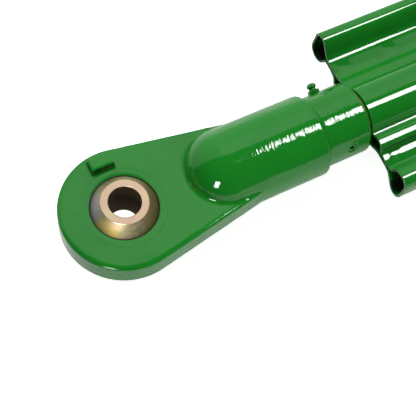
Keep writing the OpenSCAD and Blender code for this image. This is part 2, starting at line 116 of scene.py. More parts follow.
class LinkSizes(PropertyGroup):
    """Sizes of what is shaped or textured here"""

    orange_peel: length("Orange peel", 0.00006, "Depth of the enamel's orange peel on castings")
    forging_grain: length("Forging grain", 0.0009, "Mesh size of the forged eye and fork")
    sheet: length("Sheet", 0.0022, "Thickness of the handle's sheet")
    sheet_grain: length("Sheet grain", 0.0016, "Mesh size of the handle's sheet")
    valley: angle("Valley", radians(25.0), "Where the grip ends on the key channel's side")
    plain: angle("Plain side", radians(32.0), "Where the grip ends on the plain side")
    bead_out: length("Bead reach", 0.076, "Distance from the axis to the beads' outer walls")
    crown: length("Crown height", 0.0154, "Height of the beads over the middle plane")
    spot: length("Spot weld", 0.0050, "Radius of the dimples that the spot welds leave")
    pitch: length("Thread pitch", 0.004, "Pitch of both screws")
    wire: length("Spring wire", 0.00022, "Radius of the wire of the fittings' springs")


# Materials

class Worth:
    """A socket of a finish that takes Python's arithmetic and adds the Math nodes for it"""

    def __init__(self, finish, socket):
        self.finish = finish
        self.socket = socket

    def maths(self, operation, *others):
        values = dict(enumerate(others, 1))
        return self.finish.node(
            "ShaderNodeMath", {"operation": operation}, {0: self, **values}
        )

    def __add__(self, other):
        return self.maths("ADD", other)

    def __sub__(self, other):
        return self.maths("SUBTRACT", other)

    def __mul__(self, other):
        return self.maths("MULTIPLY", other)

    def __truediv__(self, other):
        return self.maths("DIVIDE", other)

    def __pow__(self, other):
        return self.maths("POWER", other)

    def __neg__(self):
        return self * -1.0

    def __abs__(self):
        return self.maths("ABSOLUTE")

    def __rsub__(self, other):
        return -self + other

    __radd__ = __add__

    def most(self, other):
        return self.maths("MAXIMUM", other)

    def step(self, low, high):
        """0 below low, 1 above high and smooth between them"""
        return self.finish.node(
            "ShaderNodeMapRange", {"interpolation_type": "SMOOTHSTEP"},
            {"Value": self, "From Min": low, "From Max": high},
        )


class Finish:
    """One material of the link, built from expressions"""

    def __init__(self, name):
        self.material = bpy.data.materials.new(name)
        self.material.use_nodes = True
        self.tree = self.material.node_tree
        self.tree.nodes.clear()
        self.place = self.node("ShaderNodeTexCoord", out="Object")

    def node(self, kind, settings=None, inputs=None, out=0):
        """Adds a node, sets what it needs first, then gives its sockets values or links"""
        node = self.tree.nodes.new(kind)
        for name, value in (settings or {}).items():
            if name == "stops":
                ramp = node.color_ramp.elements
                while len(ramp) < len(value):
                    ramp.new(1.0)
                for stop, (position, shade) in zip(ramp, value):
                    stop.position = position
                    stop.color = (*shade, 1.0)
            else:
                setattr(node, name, value)
        for name, value in (inputs or {}).items():
            socket = node.inputs[name]
            if isinstance(value, Worth):
                self.tree.links.new(value.socket, socket)
            else:
                socket.default_value = value
        return Worth(self, node.outputs[out]) if node.outputs else None

    def axes(self):
        """The three object coordinates, in metres"""
        split = self.node("ShaderNodeSeparateXYZ", inputs={0: self.place})
        return [Worth(self, output) for output in split.socket.node.outputs]

    def noise(self, scale, detail=2.0, roughness=0.5, distortion=0.0, place=None):
        """Noise from 0 to 1 with scale features to the metre"""
        return self.node(
            "ShaderNodeTexNoise",
            inputs={"Vector": place or self.place, "Scale": scale, "Detail": detail,
                    "Roughness": roughness, "Distortion": distortion},
        )

    def mix(self, share, first, second):
        """A colour that goes from first to second as share goes from 0 to 1"""
        first, second = (
            c if isinstance(c, Worth) else (*tuple(c), 1.0) for c in (first, second)
        )
        return self.node(
            "ShaderNodeMix", {"data_type": "RGBA"}, {0: share, 6: first, 7: second}, out=2
        )

    def bump(self, height, depth):
        """A normal from a height between 0 and 1 and a depth in metres"""
        inputs = {"Height": height, "Distance": depth, "Strength": 1.0}
        return self.node("ShaderNodeBump", inputs=inputs)

    def near(self, points, radius):
        """A mask that is 1 at each point and falls to 0 at the radius"""
        mask = None
        for point in points:
            away = self.node(
                "ShaderNodeVectorMath", {"operation": "DISTANCE"},
                {0: self.place, 1: point}, out="Value",
            )
            spot = 1.0 - away.step(radius * 0.4, radius)
            mask = spot if mask is None else mask.most(spot)
        return mask

    def shade(self, **sockets):
        """Joins the finished values to a Principled shader and the output"""
        values = {name.replace("_", " "): value for name, value in sockets.items()}
        for name, value in values.items():
            if name == "Base Color" and not isinstance(value, Worth):
                values[name] = (*value, 1.0)
        shader = self.node("ShaderNodeBsdfPrincipled", inputs=values)
        self.node("ShaderNodeOutputMaterial", inputs={"Surface": shader})
        return self.material


def enamel(name, peel, chips=(), gap_shade=False, flash=False, lathe=None, beads=False):
    """Glossy green enamel with its orange peel and a slow random drift in tone. It may have chips
    down to the primer, a near-black ring of painted shade round the ball for the gap between ball
    and race, a forging's flash line, the turning marks of a lathe that start at a place along X,
    or painted shade inside the handle's beads, where the green is made much darker"""
    finish = Finish(name)
    green = tuple(bpy.context.scene.link_colours.enamel)
    base = finish.mix(
        finish.noise(22.0, 2.0).step(0.3, 0.7),
        tuple(c * 0.94 for c in green), tuple(c * 1.06 for c in green),
    )
    rough = 0.05 + finish.noise(300.0, 3.0) * 0.03
    x, y, z = finish.axes()
    if chips:
        ragged = finish.noise(900.0, 2.0) * 0.9
        mask = (finish.near(chips, 0.0016) - ragged * 0.5).step(0.12, 0.30)
        base = finish.mix(mask, base, (0.11, 0.15, 0.02))
    # Painted shade: a near-black, matt ring on the race's lip next to the ball stands for the shade
    # in the gap between ball and race
    if gap_shade:
        ring = (x * x + y * y) ** 0.5
        gap_shade_share = 1.0 - ring.step(0.0273, 0.0277)
        base = finish.mix(gap_shade_share, base, (0.002, 0.003, 0.002))
        rough = rough + gap_shade_share * 0.6
    coarse = finish.noise(110.0, 1.0)
    height = finish.noise(520.0, 1.5, 0.6) * 0.5 + coarse
    if lathe is not None:
        along = finish.node(
            "ShaderNodeMapping", inputs={"Vector": finish.place, "Scale": (1.0, 0.3, 0.3)}
        )
        marks = finish.noise(430.0, 1.0, 0.5, place=along)
        height = height + marks * x.step(lathe, lathe + 0.014) * 4.5
    if beads:
        # Painted shade: a rounded box inside each bead, narrower and further out on the plain side,
        # where the green is made much darker
        across, up = y * cos(ROLL) + z * sin(ROLL), z * cos(ROLL) - y * sin(ROLL)
        plain = (across * up).step(-0.00002, 0.00002)
        middle, reach = plain * 0.0025 + 0.0657, plain * -0.0022 + 0.0092
        sideways, upwards = abs((abs(across) - middle) / reach), abs(up) / 0.0136
        inside = (sideways ** 3.0 + upwards ** 3.0).step(0.9, 1.0)
        # Inside the beads the green drops to 0.16 of itself as painted shade
        base = finish.mix(inside, tuple(c * 0.16 for c in green), base)
        rough = rough + (1.0 - inside) * 0.4
    if flash:
        height = height + (1.0 - abs(z + coarse * 0.001 - 0.0005).step(0.0012, 0.0022)) * 2.2
    return finish.shade(Base_Color=base, Roughness=rough, Normal=finish.bump(height, peel))


def zinc_ball(name):
    """Yellow passivated zinc: rainbow drift over a turned ball, patches of painted light and
    painted shade on its sides, and a dark oiled bore whose dark brown is partly painted shade
    inside the hole
    """
    finish = Finish(name)
    colours = bpy.context.scene.link_colours
    x, y, z = finish.axes()
    ring = (x * x + y * y) ** 0.5
    drift = finish.noise(75.0, 3.0, 0.55, 0.6)
    rainbow = finish.node(
        "ShaderNodeValToRGB",
        {"stops": ((0.30, (0.50, 0.43, 0.38)), (0.40, (0.58, 0.42, 0.33)),
                   (0.48, (0.62, 0.50, 0.25)), (0.56, (0.42, 0.37, 0.22)),
                   (0.64, (0.62, 0.52, 0.33)), (0.74, (0.52, 0.42, 0.40)))},
        {0: drift},
    )
    # Painted light and shade on the ball's sides: the pale lavender patch on the left is painted
    # light, the dark brown patch on the right is painted shade, and the yellow patch lower left is
    # the zinc's own yellow
    light_shade_and_tint_share = drift * 0.5 + 0.6
    for point, size, tint in (((-0.025, 0.010, 0.012), 0.020, (0.48, 0.44, 0.50)),
                              ((-0.023, -0.014, 0.012), 0.015, (0.74, 0.55, 0.18)),
                              ((0.025, -0.010, 0.012), 0.034, (0.30, 0.20, 0.09))):
        rainbow = finish.mix(finish.near((point,), size) * light_shade_and_tint_share, rainbow, tint)
    flat = abs(z).step(0.0219, 0.0221)
    blush = finish.noise(60.0, 2.0).step(0.35, 0.65)
    face = finish.mix(blush, (0.90, 0.64, 0.46), tuple(colours.zinc))
    # Painted shade: the bore and most of its mouth chamfer get the dark bore colour
    in_bore = 1.0 - ring.step(0.0130, 0.0132)
    base = finish.mix(in_bore, finish.mix(flat, rainbow, face), tuple(colours.bore))
    turned_marks = finish.node(
        "ShaderNodeTexWave", {"wave_type": "RINGS", "rings_direction": "Z"},
        {"Vector": finish.place, "Scale": 900.0, "Distortion": 0.4, "Detail": 1.0}, out="Fac",
    )
    rough = 0.50 + drift * 0.10 - flat * 0.22 + in_bore * 0.25
    normal = finish.bump(turned_marks * 0.3 + finish.noise(1500.0, 2.0), 0.000003)
    return finish.shade(Base_Color=base, Roughness=rough, Metallic=1.0, Normal=normal)


def bare_metal(name, base, rough, grain=0.00001, stain=(0.10, 0.06, 0.035), stained=0.25):
    """Oiled bare metal with stains and a fine grain"""
    finish = Finish(name)
    blotch = finish.noise(120.0, 4.0, 0.6)
    tint = finish.mix(blotch.step(0.5, 0.8) * stained, base, stain)
    roughness = rough + finish.noise(260.0, 3.0) * 0.15
    normal = finish.bump(finish.noise(1400.0, 3.0), grain)
    return finish.shade(Base_Color=tint, Roughness=roughness, Metallic=1.0, Normal=normal)


def moulded(name, base):
    """Black moulded plastic with a fine matt skin"""
    finish = Finish(name)
    tint = finish.mix(finish.noise(200.0, 2.0), base, tuple(1.6 * c for c in base))
    normal = finish.bump(finish.noise(2500.0, 2.0), 0.000008)
    rough = 0.42 + finish.noise(350.0, 2.0) * 0.15
    return finish.shade(Base_Color=tint, Roughness=rough, Normal=normal)


MATERIALS = {}


def mix_finishes():
    """Makes every finish once"""
    colours = bpy.context.scene.link_colours
    peel = bpy.context.scene.link_sizes.orange_peel
    chips = ((0.0546, -0.0039, 0.0134), (0.0562, -0.0094, 0.0134))
    MATERIALS.update(
        forging=enamel("forging enamel", peel, chips=chips, flash=True, lathe=0.098),
        race=enamel("race enamel", peel * 0.4, gap_shade=True),
        casting=enamel("casting enamel", peel),
        turned=enamel("turned enamel", peel, lathe=0.0),
        # The sheet's beads get painted shade inside them
        sheet=enamel("sheet enamel", peel * 0.2, beads=True),
        zinc=zinc_ball("zinc ball"),
        steel=bare_metal("bare steel", colours.steel, 0.28),
        bronze=bare_metal(
            "brazing bronze", colours.bronze, 0.35,
            grain=0.00004, stain=(0.012, 0.008, 0.006), stained=0.95,
        ),
        rubber=moulded("wiper plastic", colours.rubber),
    )


# The finish of each CAD node and of the piece that stands for it
NODE_FINISH = {
    "upper_eye": "forging", "ball_race": "race", "swivel_ball": "zinc",
    "upper_screw": "steel", "upper_screw_pin": "steel", "upper_wiper": "rubber",
    "upper_nut": "turned", "nut_braze": "bronze", "set_screw": "casting",
    "set_screw_plug": "rubber", "grease_fittings": "casting", "fitting_balls": "steel",
    "fitting_springs": "steel", "body_tube": "casting", "key_bars": "casting",
    "key_bar_welds": "casting", "lower_wiper": "rubber", "handle_front": "sheet",
    "handle_back": "sheet", "lower_screw": "steel", "lower_screw_pin": "steel",
    "lower_yoke": "forging", "lock_lugs": "casting", "lock_lug_welds": "casting",
    "yoke_bushes": "steel",
}


# Shaping

def of_kind(geometry, kind):
    """The vertices or the edges among the results of an operation"""
    return [g for g in geometry if isinstance(g, kind)]


def trim(bm, place, outwards):
    """Cuts away what lies past a plane and gives the edges of the cut"""
    cut = bmesh.ops.bisect_plane(
        bm, geom=bm.verts[:] + bm.edges[:] + bm.faces[:], plane_co=place,
        plane_no=outwards, clear_outer=True,
    )
    return of_kind(cut["geom_cut"], BMEdge)


def add_shape(whole, part):
    """Puts a finished shape into another one"""
    carrier = bpy.data.meshes.new("carrier")
    part.to_mesh(carrier)
    part.free()
    whole.from_mesh(carrier)
    bpy.data.meshes.remove(carrier)


def settle(name, bm, node, sharp=30.0, closed=True):
    """Makes a finished shape a piece that stands for a CAD node and rides where it does"""
    if closed:
        bmesh.ops.recalc_face_normals(bm, faces=bm.faces)
    for face in bm.faces:
        face.smooth = True
    for edge in bm.edges:
        edge.smooth = len(edge.link_faces) != 2 or edge.calc_face_angle(0.0) < radians(sharp)
    mesh = bpy.data.meshes.new(name)
    bm.to_mesh(mesh)
    bm.free()
    finish = NODE_FINISH[node]
    mesh.materials.append(MATERIALS[finish])
    piece = bpy.data.objects.new(name, mesh)
    bpy.context.scene.collection.objects.link(piece)
    bodies = frame["record"]["behaviour"]["bodies"]
    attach(piece, next(body for body, nodes in bodies.items() if node in nodes))
    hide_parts(node)
    return piece


def turned(outline, steps=96, upright=False):
    """Turns a closed outline of (along, radius, rounding) corners, in millimetres, about X,
    or about Z if upright"""
    bm = bmesh.new()
    corners = [bm.verts.new((along * MM, 0.0, radius * MM)) for along, radius, _ in outline]
    bm.faces.new(corners)
    for corner, (_, _, rounding) in zip(corners, outline):
        if rounding:
            bmesh.ops.bevel(
                bm, geom=[corner], offset=rounding * MM, offset_type="OFFSET", segments=4,
                profile=0.5, affect="VERTICES", material=-1,
            )
    bmesh.ops.delete(bm, geom=bm.faces[:], context="FACES_ONLY")
    bmesh.ops.spin(
        bm, geom=bm.verts[:] + bm.edges[:], cent=(0, 0, 0), axis=(1, 0, 0), dvec=(0, 0, 0),
        angle=2.0 * pi, steps=steps, use_merge=True,
    )
    bmesh.ops.remove_doubles(bm, verts=bm.verts, dist=1e-6)
    loose = [edge for edge in bm.edges if not edge.link_faces]
    bmesh.ops.delete(bm, geom=loose, context="EDGES")
    if upright:
        bmesh.ops.rotate(bm, verts=bm.verts, matrix=Matrix.Rotation(-pi / 2.0, 3, "Y"))
    return bm


def soften(bm, width, over=30.0, segments=2):
    """Rounds the edges that are sharper than an angle"""
    sharp = [edge for edge in bm.edges
             if len(edge.link_faces) == 2 and edge.calc_face_angle(0.0) > radians(over)]
    bmesh.ops.bevel(
        bm, geom=sharp, offset=width, offset_type="OFFSET", segments=segments, profile=0.5,
        affect="EDGES", clamp_overlap=True, material=-1,
    )


def merged_copy(node):
    """A copy of a CAD node's mesh with its corners merged"""
    bm = bmesh.new()
    bm.from_mesh(frame["nodes"][node].data)
    bmesh.ops.remove_doubles(bm, verts=bm.verts, dist=1e-6)
    return bm


def painted_copy(name, node, width):
    """A merged copy of a CAD node with flat faces made whole and edges softened"""
    bm = merged_copy(node)
    bmesh.ops.dissolve_limit(
        bm, angle_limit=radians(1.0), verts=bm.verts, edges=bm.edges,
        use_dissolve_boundaries=False, delimit=set(),
    )
    soften(bm, width)
    return settle(name, bm, node)


def ease(value, low, high):
    """0 below low, 1 above high and smooth between them"""
    share = min(1.0, max(0.0, (value - low) / (high - low)))
    return share * share * (3.0 - 2.0 * share)


def nose(place):
    """Gives the barrel's domed end a tight blend into the plate and draws it out"""
    centre, dome, plate, blend, drawn = 91.0 * MM, 35.0 * MM, 12.5 * MM, 2.5 * MM, 4.0 * MM
    foot, neck, above = 34.4 * MM, 32.1 * MM, 12.45 * MM
    arm, height = Vector((place.x - centre, place.y)).length, abs(place.z)
    fade = 1.0 - ease(place.x, 84.0 * MM, 96.0 * MM)
    if 29.0 * MM < arm < 37.5 * MM and above < height < 20.0 * MM and fade:
        if arm > foot:
            level = plate
        elif arm > neck:
            level = plate + blend - (blend ** 2 - (foot - arm) ** 2) ** 0.5
        else:
            level = (dome ** 2 - arm ** 2) ** 0.5
        place.z += (level - height) * fade * (1.0 if place.z > 0.0 else -1.0)
    if height > above:
        share = 1.0
        if place.x < centre:
            share -= ease(arm, 35.5 * MM, 44.0 * MM)
            share *= 1.0 - ease(abs(place.y), 31.0 * MM, 36.0 * MM)
        place.x -= drawn * share * (1.0 - ease(place.x, centre, 145.0 * MM))


def forged(name, node, grain, passes, ripple, ripple_size, crisp=None, draft=None):
    """Remeshes a merged copy of a CAD node and eases it, as forging or welding leaves it.
    If there is a draft, it moves each point in between. Above the middle plane and inside
    crisp, a box across X and Y, the edges are eased once only"""
    bm = merged_copy(node)
    blank_mesh = bpy.data.meshes.new(name + " blank")
    bm.to_mesh(blank_mesh)
    bm.free()
    blank = bpy.data.objects.new(name + " blank", blank_mesh)
    bpy.context.scene.collection.objects.link(blank)
    remesh = blank.modifiers.new("Remesh", "REMESH")
    remesh.mode = "VOXEL"
    remesh.voxel_size = grain
    graph = bpy.context.evaluated_depsgraph_get()
    bm = bmesh.new()
    bm.from_mesh(bpy.data.meshes.new_from_object(blank.evaluated_get(graph)))
    bpy.data.objects.remove(blank)
    if draft:
        for vert in bm.verts:
            draft(vert.co)
    for earlier in range(passes):
        eased = bm.verts[:]
        if crisp and earlier:
            (x0, y0), (x1, y1) = crisp
            eased = [v for v in eased
                     if not (x0 < v.co.x < x1 and y0 < v.co.y < y1 and v.co.z > 0.0)]
        bmesh.ops.smooth_vert(
            bm, verts=eased, factor=0.5, use_axis_x=True, use_axis_y=True, use_axis_z=True
        )
    bm.normal_update()
    for vert in bm.verts:
        depth = 0.5 + 0.5 * noise.noise(vert.co / ripple_size)
        vert.co -= vert.normal * ripple * max(0.0, depth)
    return settle(name, bm, node, sharp=60.0)


def weld_beads(name, node):
    """Weld beads with fine, deep ripples"""
    return forged(name, node, grain=0.0003, passes=3, ripple=0.0005, ripple_size=0.0022)


class LINK_OT_finishes(Operator):
    """Make the finishes and give each CAD node its own"""

    bl_idname = "link.finishes"
    bl_label = "Finishes"

    def execute(self, context):
        mix_finishes()
        for name, node in frame["nodes"].items():
            for slot in node.material_slots:
                slot.material = MATERIALS[NODE_FINISH[name]]
        return {"FINISHED"}


class LINK_OT_eye(Operator):
    """Forge the eye, with eased edges and a slightly uneven skin"""

    bl_idname = "link.eye"
    bl_label = "Eye"

    def execute(self, context):
        grain = context.scene.link_sizes.forging_grain
        lug = (-0.016, 0.033), (0.014, 0.052)
        forged("eye_forging", "upper_eye", grain, passes=5, ripple=0.00016, ripple_size=0.011,
               crisp=lug, draft=nose)
        return {"FINISHED"}


class LINK_OT_ball(Operator):
    """Turn the swivel ball and swage its race"""

    bl_idname = "link.ball"
    bl_label = "Ball and race"

    def execute(self, context):
        radius, face, bore = 29.0 * MM, 22.2 * MM, 12.7 * MM
        bm = bmesh.new()
        bmesh.ops.create_uvsphere(bm, u_segments=128, v_segments=96, radius=radius)
        mouths = []
        outer = (radius ** 2 - face ** 2) ** 0.5
        chamfer = 0.5 * MM
        # Each ring from the sphere to the bore: its radius and its depth below the face
        rings = ((outer - 0.25 * MM, 0.0), (bore + chamfer, 0.0), (bore, chamfer))
        for side in (1.0, -1.0):
            rim = trim(bm, (0, 0, side * face), (0, 0, side))
            for reach, sink in rings:
                made = bmesh.ops.extrude_edge_only(bm, edges=rim)["geom"]
                rim = [e for e in of_kind(made, BMEdge) if all(v in made for v in e.verts)]
                for vert in of_kind(made, BMVert):
                    flat = vert.co.xy.normalized() * reach
                    vert.co = (flat.x, flat.y, side * (face - sink))
            mouths += rim
        bmesh.ops.bridge_loops(bm, edges=mouths)
        settle("ball_turned", bm, "swivel_ball")
        lip, mouth, flare, seat, bed = 12.2, 27.09, 33.0, 31.0, 29.08
        outline = [(-lip, mouth, 0.3), (-lip - 0.32, flare, 0.1), (-lip + 1.2, seat, 0),
                   (lip - 1.2, seat, 0), (lip + 0.32, flare, 0.1), (lip, mouth, 0.3)]
        for step in range(13):
            along = (lip - 0.6) * (1.0 - step / 6.0)
            outline.append((along, (bed ** 2 - along ** 2) ** 0.5, 0.0))
        settle("race_swaged", turned(outline, 128, upright=True), "ball_race")
        return {"FINISHED"}


def fitting_places():
    """Where the two grease fittings stand, each with its seat at height 0"""
    return [
        Matrix.Translation((along * MM, 0, 0)) @ Matrix.Rotation(turn - pi / 2.0, 4, "X")
        @ Matrix.Translation((0, 0, seat * MM))
        for along, turn, seat in ((186.5, radians(22.0), 30.25), (477.1, ROLL, 20.5))
    ]


class LINK_OT_nut(Operator):
    """Cast the nut and add its bronze bead, set screw, wiper and grease fittings"""

    bl_idname = "link.nut"
    bl_label = "Nut and fittings"

    def execute(self, context):
        forged("nut_casting", "upper_nut", grain=0.00065, passes=3, ripple=0.00012,
               ripple_size=0.006)
        self.bead()
        painted_copy("set_screw_painted", "set_screw", 0.0002)
        lip = [(169.7, 16.08, 0), (169.7, 22.0, 0.3), (173.3, 22.0, 0.3), (173.3, 17.6, 0.3),
               (172.3, 17.6, 0.3), (171.0, 16.08, 0.2)]
        settle("wiper_upper", turned(lip), "upper_wiper")
        self.fittings(context)
        return {"FINISHED"}

    def bead(self):
        """A ragged bronze bead behind the nut's rim"""
        outline = [(209.5, 20.75, 0), (209.5, 28.2, 0), (210.7, 28.2, 0.9),
                   (212.1, 24.5, 1.2), (212.1, 20.75, 0)]
        bm = turned(outline, 160)
        for vert in bm.verts:
            reach = Vector((0.0, vert.co.y, vert.co.z))
            if reach.length > 21.5 * MM:
                swell = noise.noise(vert.co * 260.0) * 0.5 + noise.noise(vert.co * 700.0) * 0.25
                vert.co += reach.normalized() * swell * 0.9 * MM
                if vert.co.x > 209.6 * MM:
                    vert.co.x += min(0.0, swell) * 0.5 * MM
        settle("bronze_bead", bm, "nut_braze")

    def fittings(self, context):
        """Two grease fittings: a hexagon, a waisted head, a check ball and its spring"""
        body, balls, springs = bmesh.new(), bmesh.new(), bmesh.new()
        for place in fitting_places():
            hexagon, radius, high = bmesh.new(), 5.2 * MM, 2.7 * MM
            bmesh.ops.create_cone(
                hexagon, cap_ends=True, segments=6, radius1=radius, radius2=radius, depth=high
            )
            bmesh.ops.translate(hexagon, verts=hexagon.verts, vec=(0, 0, high / 2.0))
            soften(hexagon, 0.25 * MM, over=40.0, segments=3)
            outline = [(-4.2, 0, 0), (-4.2, 3.45, 0.2), (0.0, 3.45, 0), (2.6, 3.45, 0),
                       (3.3, 3.2, 0.2), (3.8, 3.0, 0.3), (4.5, 3.0, 0.4), (5.3, 4.15, 0.4),
                       (6.9, 4.15, 1.0), (8.75, 2.2, 0.6), (8.75, 1.05, 0.1), (8.2, 1.0, 0),
                       (8.2, 0, 0)]
            head = turned(outline, 48, upright=True)
            ball = bmesh.new()
            bmesh.ops.create_uvsphere(ball, u_segments=24, v_segments=16, radius=1.0 * MM)
            bmesh.ops.translate(ball, verts=ball.verts, vec=(0, 0, 7.75 * MM))
            spring = self.coil(context)
            for part, whole in ((hexagon, body), (head, body), (ball, balls), (spring, springs)):
                bmesh.ops.transform(part, matrix=place, verts=part.verts)
                add_shape(whole, part)
        settle("fittings_painted", body, "grease_fittings")
        settle("fitting_check_balls", balls, "fitting_balls")
        settle("fitting_coils", springs, "fitting_springs")

    def coil(self, context):
        """A small coil spring, its wire wound upwards and closed at both ends"""
        wire, turns, climb, steps = context.scene.link_sizes.wire, 7, 5.0 * MM, 20
        bm = bmesh.new()
        bmesh.ops.create_circle(bm, cap_ends=False, radius=wire, segments=8)
        bmesh.ops.rotate(bm, verts=bm.verts, matrix=Matrix.Rotation(pi / 2.0, 3, "X"))
        bmesh.ops.translate(bm, verts=bm.verts, vec=(0.95 * MM, 0, -2.9 * MM))
        bmesh.ops.spin(
            bm, geom=bm.verts[:] + bm.edges[:], cent=(0, 0, 0), axis=(0, 0, 1),
            dvec=(0, 0, climb / (turns * steps)), angle=2.0 * pi * turns, steps=turns * steps,
        )
        bmesh.ops.holes_fill(bm, edges=bm.edges, sides=8)
        return bm


class LINK_OT_tube(Operator):
    """Turn the tube and weld its key bars on"""

    bl_idname = "link.tube"
    bl_label = "Tube and key bars"

    def execute(self, context):
        outline = [(201.6, 16.9, 0), (201.6, 20.75, 0.5), (488.97, 20.75, 0.7), (488.97, 18.6, 0.3),
                   (486.2, 18.6, 0), (486.2, 16.08, 0), (460.2, 16.08, 0), (460.2, 16.9, 0)]
        settle("tube_drawn", turned(outline, 128), "body_tube")
        painted_copy("key_bars_painted", "key_bars", 0.0006)
        weld_beads("key_bar_beads", "key_bar_welds")
        lip = [(486.2, 16.08, 0), (486.2, 18.6, 0), (489.7, 18.6, 0.3), (489.7, 17.2, 0.3),
               (488.9, 16.08, 0.2)]
        settle("wiper_lower", turned(lip), "lower_wiper")
        return {"FINISHED"}


# The handle's section is followed from the grip outwards, flat by flat and bend by bend.
# A stretch is (length, 0) or (bend radius, turn), with a left turn positive

def after(place, stretch):
    """The place and heading at the end of a stretch"""
    (across, up, heading), (size, turn) = place, stretch
    if not turn:
        return across + size * cos(heading), up + size * sin(heading), heading
    side = 1.0 if turn > 0.0 else -1.0
    return (across + side * size * (sin(heading + turn) - sin(heading)),
            up - side * size * (cos(heading + turn) - cos(heading)), heading + turn)


def rise(radius, turn):
    """How far a bend climbs"""
    return radius * (1.0 - cos(turn))


def wing_path(sizes, ends_at, start, slope, foot, web_bend, bead_foot, bead_slope, crown_bend):
    """One side of the stamping: from the grip down to the web, over the bead and down its wall"""
    grip = 21.45 * MM + sizes.sheet / 2.0
    web = 0.6 * MM + sizes.sheet / 2.0
    crown = sizes.crown - sizes.sheet / 2.0
    place = first = (grip * cos(ends_at), grip * sin(ends_at), ends_at - pi / 2.0)
    path = list(start)
    for stretch in path:
        place = after(place, stretch)
    settling = radians(12.0) if web_bend else 0.0
    tight = foot * (cos(settling) - cos(slope))
    drop = place[1] - tight - rise(web_bend, settling) - web
    down = [(drop / sin(slope), 0.0), (foot, slope - settling)]
    if web_bend:
        down.append((web_bend, settling))
    for stretch in down:
        place = after(place, stretch)
    climb = crown - web - rise(bead_foot, bead_slope) - rise(crown_bend, bead_slope)
    flank = climb / sin(bead_slope)
    bends = bead_foot * sin(bead_slope) + crown_bend * (sin(bead_slope) + 1.0)
    flat = sizes.bead_out - bends - flank * cos(bead_slope) - place[0]
    path += down + [(flat, 0.0), (bead_foot, bead_slope), (flank, 0.0),
                    (crown_bend, -bead_slope - pi / 2.0), (crown - crown_bend - 0.3 * MM, 0.0)]
    return first, path


def channel_side(sizes):
    """The side with the key channel: a valley, a broad shoulder, a settling web and a full bead"""
    turn = pi / 2.0 - sizes.valley
    start = [(0.6 * MM, 0.0), (2.3 * MM, turn - radians(18.0)), (9.0 * MM, radians(14.0)),
             (2.3 * MM, radians(44.0)), (2.6 * MM, 0.0),
             (2.8 * MM, -radians(43.0)), (26.0 * MM, -radians(10.0)), (2.8 * MM, -radians(49.0))]
    return wing_path(
        sizes, sizes.valley, start, slope=radians(62.0), foot=6.0 * MM, web_bend=34.0 * MM,
        bead_foot=4.2 * MM, bead_slope=radians(62.0), crown_bend=9.0 * MM,
    )


def plain_side(sizes):
    """The plain side: a gentle fall to the web and a leaning bead"""
    start = [(0.6 * MM, 0.0), (5.0 * MM, pi / 2.0 - sizes.plain - radians(30.0))]
    return wing_path(
        sizes, sizes.plain, start, slope=radians(30.0), foot=14.0 * MM, web_bend=0.0,
        bead_foot=13.0 * MM, bead_slope=radians(45.0), crown_bend=6.5 * MM,
    )


